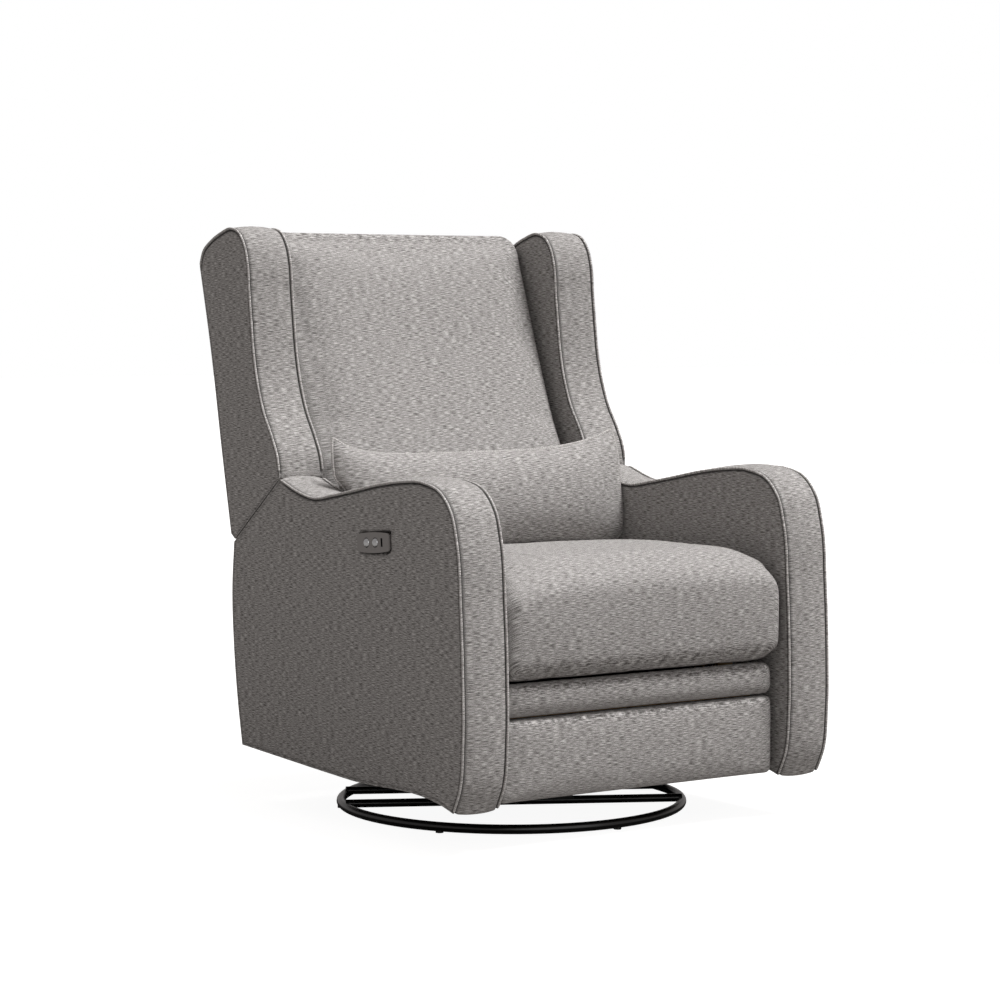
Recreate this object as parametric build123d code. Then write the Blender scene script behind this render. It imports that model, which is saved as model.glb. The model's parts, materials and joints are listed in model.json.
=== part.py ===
from build123d import *
from math import atan2, cos, degrees, radians, sin, tan
import os

# Power recline swivel glider chair. Millimetres, +Z up. The sitter faces -Y.
# The origin is on the floor, under the middle of the chair's outer box.

# Overall driving sizes
ARM_OUT = 398.0            # outer face of an arm, from the middle
ARM_IN = 307.0             # inner face of an arm
WING_OUT = 394.0
WING_IN = 301.0
SEAT_HALF = 303.0          # half width of the seat cushion
BACK_HALF = 299.0          # half width of the back cushion
PILLOW_W = 612.0           # width of the lumbar pillow
FOOT_HALF = 299.0          # half width of the footrest pads
SWIVEL_Y = -17.0           # the swivel axis, a little ahead of the middle

# Base
RING_R = 316.0             # to the middle of the ring's tube
TUBE_R = 8.5
RING_Z = 10.5
BASE_TURN = -28.5          # how far the base is turned under the chair at rest
CROSS_OFFSETS = (-55.0, 90.0)
CROSS_R = 7.5
CROSS_Z = 16.5
PLATE_T = 4.0
LOWER_PLATE_Z = CROSS_Z + CROSS_R
RACE_T = 4.0
BALL_R = 3.0
RACE_MID_R = 72.0
BALL_COUNT = 18

# Glider
GLIDE_LINK = 120.0
GLIDE_TOP_Z = 245.0
GLIDE_LOW_Z = GLIDE_TOP_Z - GLIDE_LINK
GLIDE_YS = (SWIVEL_Y - 110.0, SWIVEL_Y + 110.0)
UPRIGHT_X = (201.0, 205.0)
GLIDE_LINK_X = (206.5, 210.5)
SIDE_X = (212.0, 216.0)
PIVOT_R = 6.0
RUN = 0.06                 # radial clearance of a running pivot
OPEN_RUN = 0.4             # radial clearance of a pivot that closes a loop

# Footrest linkage: equal crossed links, in the planes of these X stations
A_X = (217.5, 221.5)
B_X = (223.0, 227.0)
EAR_X = (228.5, 232.5)
LINK = 160.0
LINK_W = 16.0
LINK_TILT = 7.5            # rise of the opening direction above level
FOLDED = 83.0              # link angle from that direction when folded
DRIVE_Y = -276.0
DRIVE_Z = 261.0
RIVET_R = 4.0
HEAD_R = 6.0

# Footrest pads
FOOT_FRONT = -418.0
FOOT_BACK = -376.0
BOARD_T = 12.0
PANEL_Z = (82.0, 222.0)
BAR_Z = (229.0, 284.0)

# Seat
SEAT_BOTTOM = 293.0
SEAT_TOP = 488.0
SEAT_REAR_TOP = 470.0
SEAT_BACK = 150.0
RAIL_X = (262.0, 296.0)
RAIL_Z = (258.0, 292.0)
SEAT_CROSS_YS = ((-240.0, -200.0), (160.0, 194.0))
ARM_BOLT_YS = (-285.0, -120.0, 30.0)
ARM_BOLT_Z = 275.0
ARM_BOLT_R = 4.0
ARM_PANEL_X = (323.0, 347.0)

# Back, which leans and turns on one hinge line
HINGE_Y = 300.0
HINGE_Z = 335.0
HINGE_FIXED_X = (302.5, 306.0)
HINGE_ARM_X = (298.3, 301.8)
SKIRT_Y = (284.0, 296.0)
INLET_X = -230.0
INLET_Z = 143.0
SPRING_GAP = 5.0           # room for the springs between the frame and the back cushion
LEAN = tan(radians(12.5))
REAR_AT_500 = 334.0
FRAME_T = 22.0
PANEL_T = 6.0

# Actuator
CRANK = 48.0
CRANK_SWING = 38.0
SLIDER_PIN_R = 4.0

# Control panel on the right-hand arm of a sitter
PANEL_YC = -173.0
PANEL_ZC = 517.0
PANEL_L = 102.0
PANEL_H = 36.0
PANEL_CORNER = 5.0
PANEL_TILT = 4.3            # degrees, front end up
BUTTON_R = 8.5
BUTTON_YS = (-152.0, -180.0)
USB_Y = -201.0


def polygon(points):
    """A flat face in the chair's side plane, from (y, z) corners."""
    return make_face(Polyline(*points, close=True))


def slab(face, low_x, high_x):
    """A side-plane face carried across from one X to another."""
    return extrude(Plane.YZ.offset(low_x) * face, amount=high_x - low_x)


def box(x, y, z):
    """A box from its (low, high) pairs."""
    size = [pair[1] - pair[0] for pair in (x, y, z)]
    middle = [(pair[1] + pair[0]) / 2 for pair in (x, y, z)]
    return Pos(*middle) * Box(*size)


def rod_x(y, z, radius, low_x, high_x):
    """A round rod along X."""
    return slab(Pos(y, z) * Circle(radius), low_x, high_x)


def disc_z(x, y, radius, low_z, high_z):
    """A round disc with its axis up."""
    height = high_z - low_z
    return Pos(x, y, low_z + height / 2) * Cylinder(radius, height)


def link_bar(start, end, width, xs):
    """A flat bar with round ends between two (y, z) pivots."""
    run = Vector(end[0] - start[0], end[1] - start[1])
    angle = degrees(atan2(run.Y, run.X))
    middle = Pos((start[0] + end[0]) / 2, (start[1] + end[1]) / 2)
    return slab(middle * SlotCenterToCenter(run.length, width, rotation=angle), *xs)


def mirrored(shape):
    """The same piece on the chair's other side."""
    return mirror(shape, about=Plane.YZ)


def both_sides(shape):
    """A piece and its mirror image, as separate solids of one node."""
    return Compound(children=[*shape.solids(), *mirrored(shape).solids()])


def group(shapes):
    """Separate solids that share one node."""
    return Compound(children=[solid for shape in shapes for solid in shape.solids()])


def folded_points():
    """The footrest linkage's pivots when folded, as (y, z)."""
    tilt = radians(LINK_TILT)
    fold = radians(FOLDED)
    along = Vector(-cos(tilt), sin(tilt)) * (LINK * cos(fold))
    down = Vector(-sin(tilt), -cos(tilt)) * (LINK * sin(fold))
    f1 = Vector(DRIVE_Y, DRIVE_Z)
    f2 = f1 + down
    c1 = f1 + along + down
    c2 = f1 + along
    d1 = f1 + along * 2
    points = {"f1": f1, "f2": f2, "c1": c1, "c2": c2, "d1": d1, "d2": d1 + down}
    points["m1"] = (f1 + c1) / 2
    points["m2"] = (c2 + points["d2"]) / 2
    points["ear"] = d1 + (points["d2"] - points["m2"])
    return {name: (point.X, point.Y) for name, point in points.items()}


PIVOT = folded_points()


def slot_end():
    """Where the sliding pivot of the linkage comes to when it is open."""
    tilt = radians(LINK_TILT)
    left = LINK * sin(radians(FOLDED - 2 * CRANK_SWING))
    return (DRIVE_Y - left * sin(tilt), DRIVE_Z - left * cos(tilt))


def rear_y(z):
    """The back's rear face at a height."""
    return REAR_AT_500 + (z - 500.0) * LEAN


def turned(shape):
    """A base piece turned about the swivel axis."""
    return Pos(0, SWIVEL_Y, 0) * Rot(0, 0, BASE_TURN) * shape


# ---------------------------------------------------------------- base
def cross_tube(offset):
    """A tube across the ring, at a distance from its middle."""
    reach = (RING_R ** 2 - offset ** 2) ** 0.5
    return Pos(0, offset, CROSS_Z) * Rot(0, 90, 0) * Cylinder(CROSS_R, 2 * reach)


def base_parts():
    ring = Pos(0, 0, RING_Z) * Torus(RING_R, TUBE_R)
    tubes = [cross_tube(offset) - ring for offset in CROSS_OFFSETS]
    pads = [Rot(0, 0, 60 * step) * (disc_z(RING_R, 0, 7, 0, 5) - ring) for step in range(6)]
    top = LOWER_PLATE_Z
    plate = box((-105, 105), (-88, 105), (top, top + PLATE_T))
    race_z = top + PLATE_T
    ball_z = race_z + RACE_T + 1.0
    groove = Pos(0, 0, ball_z) * Torus(RACE_MID_R, BALL_R + 0.05)
    lower = disc_z(0, 0, 84, race_z, race_z + RACE_T) - disc_z(0, 0, 60, race_z, race_z + RACE_T)
    spread = 360.0 / BALL_COUNT
    ball = Pos(RACE_MID_R, 0, ball_z) * Sphere(BALL_R)
    balls = [Rot(0, 0, spread * step) * ball for step in range(BALL_COUNT)]
    bolt = disc_z(0, 0, 8, race_z, race_z + 22) + disc_z(0, 0, 14, race_z + 18, race_z + 24)
    shift = Pos(0, SWIVEL_Y, 0)
    return {
        "base_ring": shift * ring,
        "base_cross_tubes": group([turned(part) for part in tubes]),
        "floor_glides": group([turned(part) for part in pads]),
        "swivel_lower_plate": turned(plate),
        "bearing_lower_race": shift * (lower - groove),
        "bearing_balls": group([shift * part for part in balls]),
        "swivel_bolt": shift * bolt,
    }


# ---------------------------------------------------------------- swivel frame
def swivel_parts():
    low = LOWER_PLATE_Z + PLATE_T + RACE_T + 2.0
    ball_z = LOWER_PLATE_Z + PLATE_T + RACE_T + 1.0
    groove = Pos(0, 0, ball_z) * Torus(RACE_MID_R, BALL_R + 0.05)
    race = disc_z(0, 0, 84, low, low + RACE_T) - disc_z(0, 0, 60, low, low + RACE_T) - groove
    plate_z = low + RACE_T
    plate = box((-110, 110), (-95, 95), (plate_z, plate_z + PLATE_T)) - disc_z(0, 0, 8.1, 0, 90)
    bar_z = plate_z + PLATE_T
    bar = box((-UPRIGHT_X[0], UPRIGHT_X[0]), (60, 90), (bar_z, bar_z + 20))
    shift = Pos(0, SWIVEL_Y, 0)
    foot = (bar_z, bar_z + 26)
    rail = box(UPRIGHT_X, (GLIDE_YS[0] - 16, GLIDE_YS[1] + 16), foot)
    upright = rail
    for y in GLIDE_YS:
        upright += link_bar((y, bar_z + 13), (y, GLIDE_TOP_Z), 26, UPRIGHT_X)
        upright += rod_x(y, GLIDE_TOP_Z, PIVOT_R, UPRIGHT_X[0] - 3, GLIDE_LINK_X[1] + 0.5)
    return {
        "bearing_upper_race": shift * race,
        "swivel_upper_plate": shift * plate,
        "glider_crossbars": shift * group([bar, Pos(0, -150, 0) * bar]),
        "glider_uprights": both_sides(upright),
    }


def glide_link(y):
    """One hanging link: a flat bar with a running hole at each end."""
    bar = link_bar((y, GLIDE_TOP_Z), (y, GLIDE_LOW_Z), 24, GLIDE_LINK_X)
    bar -= rod_x(y, GLIDE_TOP_Z, PIVOT_R + RUN, *GLIDE_LINK_X)
    return bar - rod_x(y, GLIDE_LOW_Z, PIVOT_R + RUN, *GLIDE_LINK_X)


def glide_links():
    front = glide_link(GLIDE_YS[0])
    rear = glide_link(GLIDE_YS[1])
    return {
        "glide_link_front_left": front,
        "glide_link_front_right": mirrored(front),
        "glide_link_rear_left": rear,
        "glide_link_rear_right": mirrored(rear),
    }


# ---------------------------------------------------------------- carriage
def side_plate():
    """The steel side plate: two rails and two posts, with the linkage's slot."""
    f1 = PIVOT["f1"]
    f2 = PIVOT["f2"]
    low = (GLIDE_LOW_Z - 17, GLIDE_LOW_Z + 17)
    top = (RAIL_Z[0] - 22, RAIL_Z[0] + 10)
    plate = box(SIDE_X, (f2[0] - 20, 190), low)
    plate += box(SIDE_X, (f2[0] - 20, 190), top)
    plate += box(SIDE_X, (160, 190), (low[0], top[1]))
    plate += box(SIDE_X, (f2[0] - 20, -240), (f2[1] - 14, f1[1] + 7))
    plate += link_bar(f1, (f1[0] + 20, f1[1]), 30, SIDE_X)
    plate -= link_bar(f2, slot_end(), 10, SIDE_X)
    plate -= rod_x(*f1, PIVOT_R + RUN, *SIDE_X)
    for y in GLIDE_YS:
        plate += rod_x(y, GLIDE_LOW_Z, PIVOT_R, GLIDE_LINK_X[0] - 0.5, SIDE_X[1] + 2)
    return plate


def seat_frame():
    """Two side rails, bored for the arm bolts, and two cross rails."""
    side = box(RAIL_X, (-300, SEAT_CROSS_YS[1][1]), RAIL_Z)
    for y in ARM_BOLT_YS:
        side -= rod_x(y, ARM_BOLT_Z, ARM_BOLT_R, *RAIL_X)
    cross_z = (RAIL_Z[0] + 12, RAIL_Z[1] - 5)
    crosses = [box((-RAIL_X[0], RAIL_X[0]), ys, cross_z) for ys in SEAT_CROSS_YS]
    return group([both_sides(side), *crosses])


def seat_springs():
    """Zigzag steel springs from the front cross rail to the rear one."""
    wire = 1.8
    pitch = 40.0
    springs = []
    for x in (-200, -100, 0, 100, 200):
        points = [(x + (24 if step % 2 else -24), -200 + step * pitch) for step in range(10)]
        path = FilletPolyline(*points, radius=14)
        start = Plane(origin=path @ 0, z_dir=path % 0)
        spring = sweep(start * Circle(wire), path=path)
        springs.append(Pos(0, 0, RAIL_Z[1] - 2.6) * spring)
    return group(springs)


def seat_cushion():
    front = Spline((-395, SEAT_BOTTOM), (-430, 320), (-440, 380), (-432, 440), (-380, SEAT_TOP - 4))
    crown = ThreePointArc((-380, SEAT_TOP - 4), (-150, SEAT_TOP - 1), (SEAT_BACK, SEAT_REAR_TOP))
    back = Polyline((SEAT_BACK, SEAT_REAR_TOP), (SEAT_BACK, SEAT_BOTTOM), (-395, SEAT_BOTTOM))
    return slab(make_face(front + crown + back), -SEAT_HALF, SEAT_HALF)


def arm_outline():
    """An arm from the side, round at the front and cut down for the wing."""
    front = Spline((-417, 80), (-437, 122), (-446, 200), (-446, 300), (-440, 420), (-428, 535), (-390, 606),
                   (-325, 628), (-189, 618), (-40, 592), (35, 583), (96, 596), (147, 610))
    rear = ThreePointArc((316, 486), (321, 300), (290, 108))
    lines = Polyline((147, 610), (316, 486)) + Polyline((290, 108), (-89, 93), (-402, 84), (-417, 80))
    return make_face(front + rear + lines)


def arm_panel_outline():
    points = [(-404, 98), (-426, 270), (-408, 520), (-370, 596), (-310, 612), (-40, 576), (60, 570)]
    points += [(140, 592), (298, 474), (306, 300), (274, 124), (-89, 110)]
    return polygon(points)


def arm_parts():
    """The arm's wooden panel, its padded cover around it, and its bolts with spacers."""
    board = slab(arm_panel_outline(), *ARM_PANEL_X)
    cover = slab(arm_outline(), ARM_IN, ARM_OUT) - board
    bolts = []
    for y in ARM_BOLT_YS:
        spacer = rod_x(y, ARM_BOLT_Z, 9, RAIL_X[1], ARM_PANEL_X[0])
        shank = rod_x(y, ARM_BOLT_Z, ARM_BOLT_R, RAIL_X[0] - 4, ARM_PANEL_X[1])
        head = rod_x(y, ARM_BOLT_Z, 7, RAIL_X[0] - 8, RAIL_X[0])
        bolts.append(shank + spacer + head)
        board -= shank
        cover -= spacer
    return board, cover, group(bolts)


def hinge_brackets():
    """The fixed half of the back's hinge, from the seat rail up to the hinge line."""
    hinge = (HINGE_Y, HINGE_Z)
    low_edge = [(60, 264), (190, 264), (HINGE_Y + 9, HINGE_Z - 12)]
    top_edge = [(HINGE_Y - 10, HINGE_Z + 11), (165, 290), (60, 290)]
    plate = slab(polygon(low_edge + top_edge), *HINGE_FIXED_X) + rod_x(*hinge, 14, *HINGE_FIXED_X)
    for y in (75, 175):
        plate += box((RAIL_X[1], HINGE_FIXED_X[0]), (y - 10, y + 10), (268, 286))
    return both_sides(plate + rod_x(*hinge, PIVOT_R, HINGE_ARM_X[0] - 1, HINGE_FIXED_X[1]))


def rear_skirt():
    """The covered board that closes the back below the hinge line, cut for the inlet."""
    return box((-297, 297), SKIRT_Y, (110, 320)) - inlet_box(0)


def inlet_box(wall):
    """The inlet's housing, less a wall thickness."""
    across = (INLET_X - 15 + wall, INLET_X + 15 - wall)
    up = (INLET_Z - 15 + wall, INLET_Z + 15 - wall)
    return box(across, (SKIRT_Y[0] + wall, SKIRT_Y[1] + 2), up)


# ---------------------------------------------------------------- actuator
def crank_pin_y(swing):
    return DRIVE_Y + CRANK * tan(radians(swing))


def actuator_parts():
    z = DRIVE_Z - CRANK
    rail = box((-13, 13), (-332, 160), (z - 10, z + 10)) - box((-9, 9), (-332, 160), (z - 6, z + 6))
    hanger = box((-13, 13), (120, 160), (z + 10, RAIL_Z[0] + 12))
    hanger += box((-13, 13), (160, 190), (z - 10, RAIL_Z[0] + 12))
    gearbox = box((-26, 26), (60, 118), (z - 44, z - 10.2))
    motor = rod_x(89, z - 30, 19, 26, 118)
    y = crank_pin_y(CRANK_SWING)
    block = box((-18.5, 18.5), (y - 22, y + 30), (z - 16, z + 16))
    block -= box((-13.5, 13.5), (y - 22, y + 30), (z - 10.5, z + 10.5))
    ends = rod_x(y, z, SLIDER_PIN_R, 18.5, 26)
    return {
        "actuator_rail": rail,
        "actuator_hanger": hanger,
        "actuator_motor": gearbox + motor,
        "actuator_slider": block + ends + mirrored(ends),
    }


# ---------------------------------------------------------------- control panel
def panel_face(grow):
    """The panel's outline, with slightly bowed long edges."""
    half = PANEL_L / 2 + grow
    rise = PANEL_H / 2 - 3 + grow
    top = ThreePointArc((-half, rise), (0, rise + 3), (half, rise))
    low = ThreePointArc((-half, -rise), (0, -rise - 3), (half, -rise))
    ends = Line((-half, rise), (-half, -rise)) + Line((half, rise), (half, -rise))
    face = make_face(top + low + ends)
    return on_panel(0) * fillet(face.vertices(), max(PANEL_CORNER + grow, 1.5))


def on_panel(along):
    """The place a distance along the panel's tilted middle line, positive towards the rear."""
    return Pos(PANEL_YC, PANEL_ZC) * Rot(0, 0, -PANEL_TILT) * Pos(along, 0)


def panel_rod(along, radius, low_x, high_x):
    """A round bar through the panel, along X."""
    spot = on_panel(along).position
    return rod_x(spot.X, spot.Y, radius, low_x, high_x)


def control_parts():
    face = -ARM_OUT
    plate = slab(panel_face(0), face - 2.5, face)
    body = slab(panel_face(-3), face, face + 26)
    hollow = slab(panel_face(-5), face + 1.5, face + 24)
    bezel = plate + body - hollow
    buttons = []
    for y in BUTTON_YS:
        along = y - PANEL_YC
        bezel -= panel_rod(along, BUTTON_R + 0.3, face - 5, face + 10)
        button = panel_rod(along, BUTTON_R, face - 4.5, face + 12)
        button += panel_rod(along, BUTTON_R + 1.5, face + 8, face + 12)
        buttons.append(fillet(button.edges().group_by(Axis.X)[0], 2.0))
    place = on_panel(USB_Y - PANEL_YC)
    slot = place * Rectangle(6.0, 15.0)
    bezel -= slab(slot, face - 5, face + 5)
    shell = slab(slot, face - 2.3, face + 13) - slab(place * Rectangle(5.0, 13.6), face - 3, face + 12)
    shell += slab(place * Pos(-1.2, 0) * Rectangle(1.6, 11.0), face - 1.5, face + 12.5)
    return bezel, buttons, shell


def power_inlet():
    """The low-voltage inlet: a flanged cup with one contact pin."""
    pin = Pos(INLET_X, SKIRT_Y[1] - 4, INLET_Z) * Rot(90, 0, 0) * Cylinder(1.5, 10)
    return inlet_box(0) - inlet_box(3) + pin


# ---------------------------------------------------------------- footrest linkage
def link_between(start, end, xs, holes, pins):
    """A link with its holes, (name, clearance), and its own pins, (name, low x, high x)."""
    bar = link_bar(PIVOT[start], PIVOT[end], LINK_W, xs)
    for name, run in holes:
        bar -= rod_x(*PIVOT[name], RIVET_R + run, *xs)
    for name, low_x, high_x in pins:
        bar += rod_x(*PIVOT[name], RIVET_R, low_x, high_x)
    return bar


def drive_link():
    through = B_X[1] + 0.2
    bar = link_between("f1", "c1", A_X, [], [("m1", A_X[0], through), ("c1", A_X[0], through)])
    return bar - rod_x(*PIVOT["f1"], PIVOT_R, *A_X)


def cross_link():
    bar = link_between("f2", "c2", B_X, [("m1", RUN)], [("c2", A_X[0], B_X[1])])
    return bar + rod_x(*PIVOT["f2"], 4.5, SIDE_X[0] - 1, B_X[1])


def outer_link():
    pins = [("m2", A_X[0], B_X[1] + 0.2), ("d2", A_X[0], B_X[1] + 0.2)]
    return link_between("c2", "d2", A_X, [("c2", RUN)], pins)


def lift_link():
    return link_between("c1", "d1", B_X, [("c1", RUN), ("m2", OPEN_RUN)], [("d1", B_X[0], EAR_X[1])])


def tilt_link():
    return link_between("d2", "ear", B_X, [("d2", RUN), ("ear", OPEN_RUN)], [])


def drive_tube():
    """The torque tube, its stub ends and the slotted crank pair."""
    f1 = PIVOT["f1"]
    end = SIDE_X[0] - 0.5
    tube = rod_x(*f1, 10, -end, end)
    tube += rod_x(*f1, PIVOT_R, -A_X[1], A_X[1])
    turn = 90.0 - CRANK_SWING
    reach = CRANK / cos(radians(CRANK_SWING))
    arm = SlotCenterToCenter(reach, 26, rotation=0)
    slot = SlotCenterToCenter(reach - CRANK + 6, 2 * SLIDER_PIN_R + 5.6, rotation=0)
    centre = Pos(*f1) * Rot(0, 0, -turn)
    crank = slab(centre * Pos(reach / 2, 0) * arm, 20, 24)
    crank -= slab(centre * Pos((reach + CRANK) / 2, 0) * slot, 20, 24)
    return tube + crank + mirrored(crank)


# ---------------------------------------------------------------- footrest
def footrest_parts():
    board_z = (PANEL_Z[0] + 12, BAR_Z[1] - 8)
    board_y = (FOOT_BACK, FOOT_BACK + BOARD_T)
    board = box((-FOOT_HALF + 24, FOOT_HALF - 24), board_y, board_z)
    pad = box((-FOOT_HALF, FOOT_HALF), (FOOT_FRONT, FOOT_BACK), PANEL_Z)
    bar = box((-FOOT_HALF, FOOT_HALF), (FOOT_FRONT, FOOT_BACK), BAR_Z)
    pad = fillet(pad.edges().filter_by(Axis.X).group_by(Axis.Y)[0], 10)
    bar = fillet(bar.edges().filter_by(Axis.X).group_by(Axis.Y)[0], 14)
    d1 = PIVOT["d1"]
    ear = PIVOT["ear"]
    y = board_y[1]
    ear_shape = [(y, 150), (y, 274), (d1[0], d1[1] + 7), (d1[0] + 4, d1[1] - 4), (ear[0] + 4, ear[1] - 6)]
    plate = slab(polygon(ear_shape), *EAR_X)
    plate += rod_x(*d1, 9, *EAR_X) + rod_x(*ear, 9, *EAR_X)
    plate += box((EAR_X[0], EAR_X[0] + 24), (y, y + 3), (150, 274))
    plate -= rod_x(*d1, RIVET_R + RUN, *EAR_X)
    plate += rod_x(*ear, RIVET_R, B_X[0], EAR_X[1])
    right = plate - rod_x(*d1, RIVET_R + OPEN_RUN, *EAR_X)
    return {
        "footrest_board": board,
        "footrest_brackets": group([plate, mirrored(right)]),
        "footrest_pad": pad,
        "footrest_bar_pad": bar,
    }


# ---------------------------------------------------------------- back
def leaning(low_z, high_z, near, far, xs):
    """A slab that follows the back's lean; near and far are depths ahead of the rear face."""
    corners = [(rear_y(low_z) - near, low_z), (rear_y(high_z) - near, high_z)]
    corners += [(rear_y(high_z) - far, high_z), (rear_y(low_z) - far, low_z)]
    return slab(polygon(corners), *xs)


def wing_outline():
    """A wing from the side: the swept front edge, the round top and the leaning rear."""
    front = Spline((156, 622), (160, 648), (205, 720), (243, 822), (256, 912), (268, 1002),
                   (300, 1060), (331, 1068), (380, 1056), (432, 1028), (448, 999))
    rear = Polyline((448, 999), (410, 853), (366, 645), (334, 500), (320, 491), (156, 611), (156, 622))
    return make_face(front + rear)


def wing_panel_outline():
    return polygon([(196, 622), (262, 820), (286, 1000), (312, 1040), (372, 1034), (424, 996),
                    (392, 850), (350, 655), (322, 522), (312, 520)])


def back_cushion():
    front = Spline((162, 470), (152, 540), (176, 630), (240, 740), (290, 860), (330, 965), (352, 1040),
                   (378, 1064), (404, 1058))
    depth = PANEL_T + FRAME_T + SPRING_GAP
    rear = [(rear_y(z) - depth, z) for z in (1030, 440)]
    rest = Polyline((404, 1058), *rear, (166, 440), (162, 470))
    return slab(make_face(front + rest), -BACK_HALF, BACK_HALF)


def back_springs():
    wire = 1.8
    springs = []
    for x in (-180, -60, 60, 180):
        points = [(x + (26 if step % 2 else -26), 20 + step * 42.0) for step in range(15)]
        path = FilletPolyline(*points, radius=14)
        start = Plane(origin=path @ 0, z_dir=path % 0)
        spring = sweep(start * Circle(wire), path=path)
        depth = PANEL_T + FRAME_T + SPRING_GAP / 2
        springs.append(Pos(0, rear_y(380) - depth, 380) * Rot(90 - 12.5, 0, 0) * spring)
    return group(springs)


def back_parts():
    near = PANEL_T
    far = PANEL_T + FRAME_T
    stile = leaning(360, 1020, near, far, (RAIL_X[0], 298))
    rails = [leaning(low, low + 40, near, far, (-RAIL_X[0], RAIL_X[0])) for low in (360, 980)]
    panel = leaning(345, 1036, 0, PANEL_T - 0.3, (-297.5, 297.5))
    wing = slab(wing_outline(), WING_IN, WING_OUT)
    board = slab(wing_panel_outline(), WING_IN + 18, WING_IN + 40)
    hinge = (HINGE_Y, HINGE_Z)
    arm = link_bar(hinge, (rear_y(466) - 17, 466), 22, HINGE_ARM_X)
    arm -= rod_x(*hinge, PIVOT_R + RUN, *HINGE_ARM_X)
    return {
        "back_frame": group([both_sides(stile), *rails]),
        "back_springs": back_springs(),
        "back_cushion": back_cushion(),
        "back_outer_panel": panel,
        "wing_left": wing - board,
        "wing_right": mirrored(wing - board),
        "wing_panels": both_sides(board),
        "back_hinge_arms": both_sides(arm),
    }


def lumbar_pillow():
    """The loose pillow, leaning on the back."""
    pillow = fillet(Box(PILLOW_W, 96, 190).edges(), 36)
    return Pos(0, 69, 578) * Rot(-11, 0, 0) * pillow


def chair():
    """Every node of the chair, by name."""
    nodes = {}
    nodes.update(base_parts())
    nodes.update(swivel_parts())
    nodes.update(glide_links())
    plate = side_plate()
    nodes["side_plate_left"] = plate
    nodes["side_plate_right"] = mirrored(plate)
    nodes["seat_frame"] = seat_frame()
    nodes["seat_springs"] = seat_springs()
    nodes["seat_cushion"] = seat_cushion()
    panel, cover, bolts = arm_parts()
    bezel, buttons, usb = control_parts()
    nodes["arm_panels"] = both_sides(panel)
    nodes["arm_cover_left"] = cover
    pocket = slab(panel_face(-2.5), -ARM_OUT, -ARM_OUT + 27)
    nodes["arm_cover_right"] = mirrored(cover) - pocket
    nodes["arm_bolts"] = both_sides(bolts)
    nodes["back_hinge_brackets"] = hinge_brackets()
    nodes["rear_skirt_panel"] = rear_skirt()
    nodes["power_inlet"] = power_inlet()
    nodes.update(actuator_parts())
    nodes["control_bezel"] = bezel
    nodes["button_recline"], nodes["button_return"] = buttons
    nodes["usb_socket"] = usb
    nodes["footrest_drive_tube"] = drive_tube()
    links = {"drive_link": drive_link(), "cross_link": cross_link(), "outer_link": outer_link(),
             "lift_link": lift_link(), "tilt_link": tilt_link()}
    for name, link in links.items():
        nodes[name + "_left"] = link
        nodes[name + "_right"] = mirrored(link)
    nodes.update(footrest_parts())
    nodes.update(back_parts())
    nodes["lumbar_pillow"] = lumbar_pillow()
    return nodes


def main():
    os.makedirs("parts", exist_ok=True)
    for name, shape in chair().items():
        export_step(shape, f"parts/{name}.step")


main()
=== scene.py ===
# %% [markdown]
# # A wing-back nursery glider, dressed over its CAD frame
# The steel, wood and plastic parts arrive finished in shape from the CAD model. This lesson makes what CAD leaves
# plain: the padding, the sewn covers with their piping, and every surface finish. Each piece is a surface worked out
# with numpy, because a formula can be read, changed and run again with the same result.

# %% Load the frame
import json
import math

import bpy
import numpy as np
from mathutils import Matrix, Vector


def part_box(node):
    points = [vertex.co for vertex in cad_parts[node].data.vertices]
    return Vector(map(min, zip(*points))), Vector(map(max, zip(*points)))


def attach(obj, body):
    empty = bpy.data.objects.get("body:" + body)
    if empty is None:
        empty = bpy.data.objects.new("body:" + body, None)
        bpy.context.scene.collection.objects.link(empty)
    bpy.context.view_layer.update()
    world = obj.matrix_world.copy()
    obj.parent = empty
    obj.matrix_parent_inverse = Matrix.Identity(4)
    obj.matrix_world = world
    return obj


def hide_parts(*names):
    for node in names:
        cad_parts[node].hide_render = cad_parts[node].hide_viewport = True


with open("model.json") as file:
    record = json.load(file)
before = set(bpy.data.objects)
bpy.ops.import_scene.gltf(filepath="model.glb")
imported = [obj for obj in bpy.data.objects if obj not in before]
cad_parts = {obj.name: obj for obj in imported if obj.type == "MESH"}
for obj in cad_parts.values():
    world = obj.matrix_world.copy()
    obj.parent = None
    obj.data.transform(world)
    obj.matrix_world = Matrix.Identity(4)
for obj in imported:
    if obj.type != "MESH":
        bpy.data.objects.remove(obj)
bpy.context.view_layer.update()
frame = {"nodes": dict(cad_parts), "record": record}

# %% [markdown]
# ## Camera first
# A chair is best shown from far away through a long lens, so that its edges stay nearly parallel. The
# camera stands to the chair's right front, a little above its back, and looks almost level.

# %% Camera
CAMERA_AT = (-3.0402, -4.3680, 0.9205)
CAMERA_TURN = -34.715
CAMERA_DOWN = 3.811
CAMERA_LENS = 103.75


def add_camera():
    """A camera turned about Z after it is tipped from straight down to CAMERA_DOWN below level."""
    data = bpy.data.cameras.new("camera")
    data.lens = CAMERA_LENS
    data.sensor_width = 36.0
    data.clip_end = 60.0
    camera = bpy.data.objects.new("camera", data)
    camera.location = CAMERA_AT
    camera.rotation_euler = (math.radians(90.0 - CAMERA_DOWN), 0.0, math.radians(CAMERA_TURN))
    bpy.context.scene.collection.objects.link(camera)
    bpy.context.scene.camera = camera


add_camera()

# %% [markdown]
# ## Helpers for meshes
# A grid of points becomes a mesh by joining each point to its right and upper neighbour. Where a grid closes on
# itself, the last column joins the first, so there is no seam. A pole is one vertex with a fan of triangles.

# %% Mesh helpers
MM = 0.001


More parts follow.
